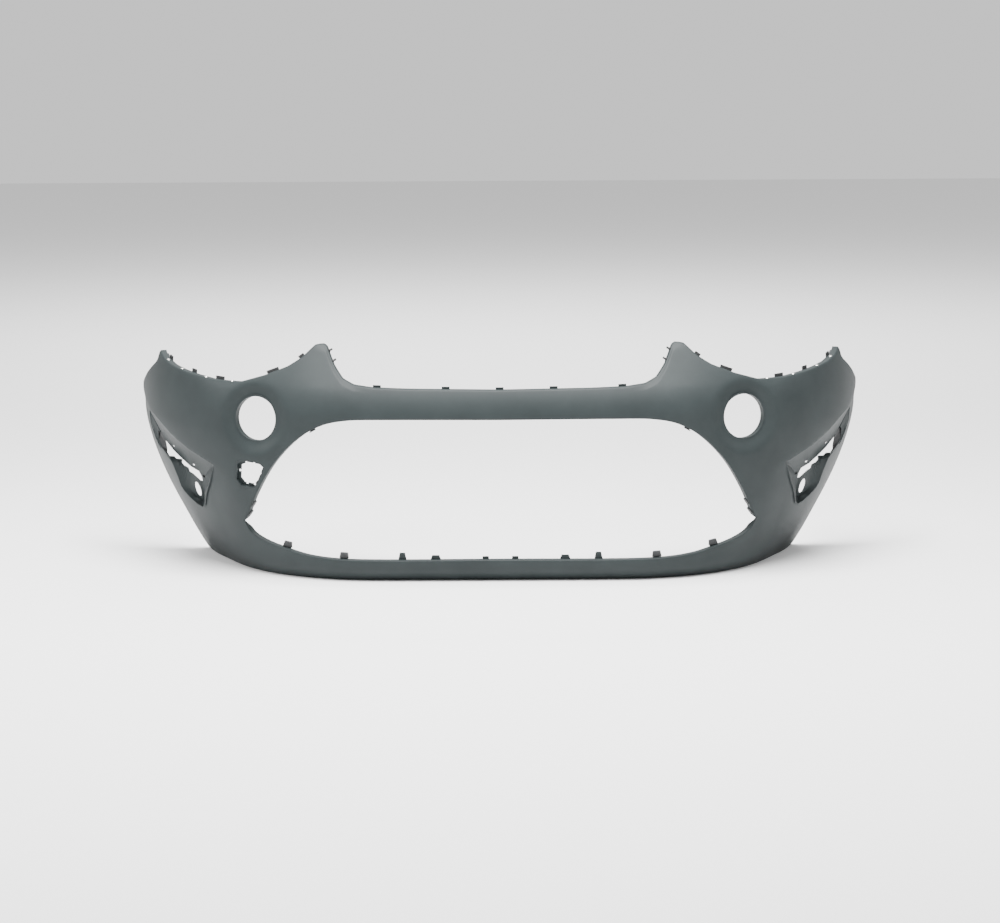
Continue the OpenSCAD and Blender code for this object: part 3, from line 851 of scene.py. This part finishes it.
for template in (grilleClip, archNut, trayNut):
    bpy.data.objects.remove(template)
print("clips set")

# caps of the lower lip's tabs
cap = {"halfWidth": 11, "taper": 2.5, "foot": 1, "tip": 14, "front": -1.6, "depth": 7, "edge": 0.8}
w = cap["halfWidth"]
capOutline = [(-w, cap["foot"]), (w, cap["foot"]), (w - cap["taper"], cap["tip"]),
              (-w + cap["taper"], cap["tip"])]
capShape = extruded(capOutline, cap["front"], cap["front"] + cap["depth"])
parts = [(capShape, onLine(openingBottom, s * u, cover["openingFlange"]))
         for s in (-1, 1) for u in tabs["capped"]]
caps = joined("lipTabCaps", parts)
soften(caps, cap["edge"], 3)
coat(caps, blackPlastic)
finished(smoothShade(caps), "black_plastic", "grille_clips_lower")

# locating studs on the horns
stud = {"places": [390, 402], "baseRadius": 4, "baseHeight": 2, "pinRadius": 2.4, "pinFoot": 1.5,
        "pinTip": 9, "edge": 0.5}
for s, word in ((-1, "left"), (1, "right")):
    parts = []
    for u in stud["places"]:
        m = onTop(s * u, cover["topFlange"] / 2)
        parts += [(discShape(stud["baseRadius"], 0, stud["baseHeight"], 32), m),
                  (discShape(stud["pinRadius"], stud["pinFoot"], stud["pinTip"], 28), m)]
    studs = joined("hornStuds_" + word, parts)
    soften(studs, stud["edge"], 2)
    coat(studs, blackPlastic)
    finished(smoothShade(studs), "black_plastic", "grille_studs_" + word)
print("caps and studs made")

# carried-over pieces get their finish; on the pocket frames this black is partly painted shade, filling
# the pocket's rear end where the inner wall lies in shade
for kind in ("headlamp_rail_", "wing_bracket_", "pocket_frame_"):
    for word in ("left", "right"):
        materials = nodes[kind + word].data.materials
        materials.clear()
        materials.append(blackPlastic)

# floor, light and camera
studio = {
    "floor": (0.80, 0.80, 0.80, 1), "floorRoughness": 0.9, "floorHalf": 30, "world": 0.90,
    "cameraDistance": 5.2, "lens": 79.2, "elevation": 9, "roll": -0.3, "target": (0, -0.069, 0.251),
    # name, power, size, position, what it points at
    "softboxes": [("overhead", 620, 2.6, (0, -0.9, 3.5), (0, 0, 0.25)),
                  ("behind", 520, 5.0, (0, 5.0, 4.2), (0, 7.5, 0)),
                  ("sideLeft", 55, 0.8, (-2.9, -0.7, 1.8), (0, 0, 0.25)),
                  ("sideRight", 20, 0.8, (2.9, -0.7, 1.8), (0, 0, 0.25))],
}
floorMesh = bpy.data.meshes.new("studioFloor")
h = studio["floorHalf"]
floorMesh.from_pydata([(-h, -h, 0), (h, -h, 0), (h, h, 0), (-h, h, 0)], [], [[0, 1, 2, 3]])
floor = bpy.data.objects.new("studioFloor", floorMesh)
bpy.context.scene.collection.objects.link(floor)
floorFinish = bpy.data.materials.new("paleFloor")
floorFinish.use_nodes = True
floorShader = floorFinish.node_tree.nodes["Principled BSDF"]
floorShader.inputs["Base Color"].default_value = studio["floor"]
floorShader.inputs["Roughness"].default_value = studio["floorRoughness"]
floorMesh.materials.append(floorFinish)

world = bpy.data.worlds.new("softRoom")
bpy.context.scene.world = world
world.use_nodes = True
world.node_tree.nodes["Background"].inputs["Color"].default_value = (1, 1, 1, 1)
world.node_tree.nodes["Background"].inputs["Strength"].default_value = studio["world"]


def softbox(name, power, size, position, target):
    light = bpy.data.lights.new(name, "AREA")
    light.energy, light.shape, light.size = power, "DISK", size
    obj = bpy.data.objects.new(name, light)
    bpy.context.scene.collection.objects.link(obj)
    obj.location = position
    obj.rotation_euler = (Vector(target) - Vector(position)).to_track_quat("-Z", "Y").to_euler()


for settings in studio["softboxes"]:
    softbox(*settings)
print("studio lit")

camera = bpy.data.objects.new("camera", bpy.data.cameras.new("camera"))
bpy.context.scene.collection.objects.link(camera)
camera.data.lens, camera.data.sensor_width = studio["lens"], 36
target, elevation = Vector(studio["target"]), math.radians(studio["elevation"])
back = Vector((0, -math.cos(elevation), math.sin(elevation)))
camera.location = target + back * studio["cameraDistance"]
camera.rotation_euler = ((-back).to_track_quat("-Z", "Y").to_matrix().to_4x4()
                         @ Matrix.Rotation(math.radians(studio["roll"]), 4, "Z")).to_euler()
bpy.context.scene.camera = camera
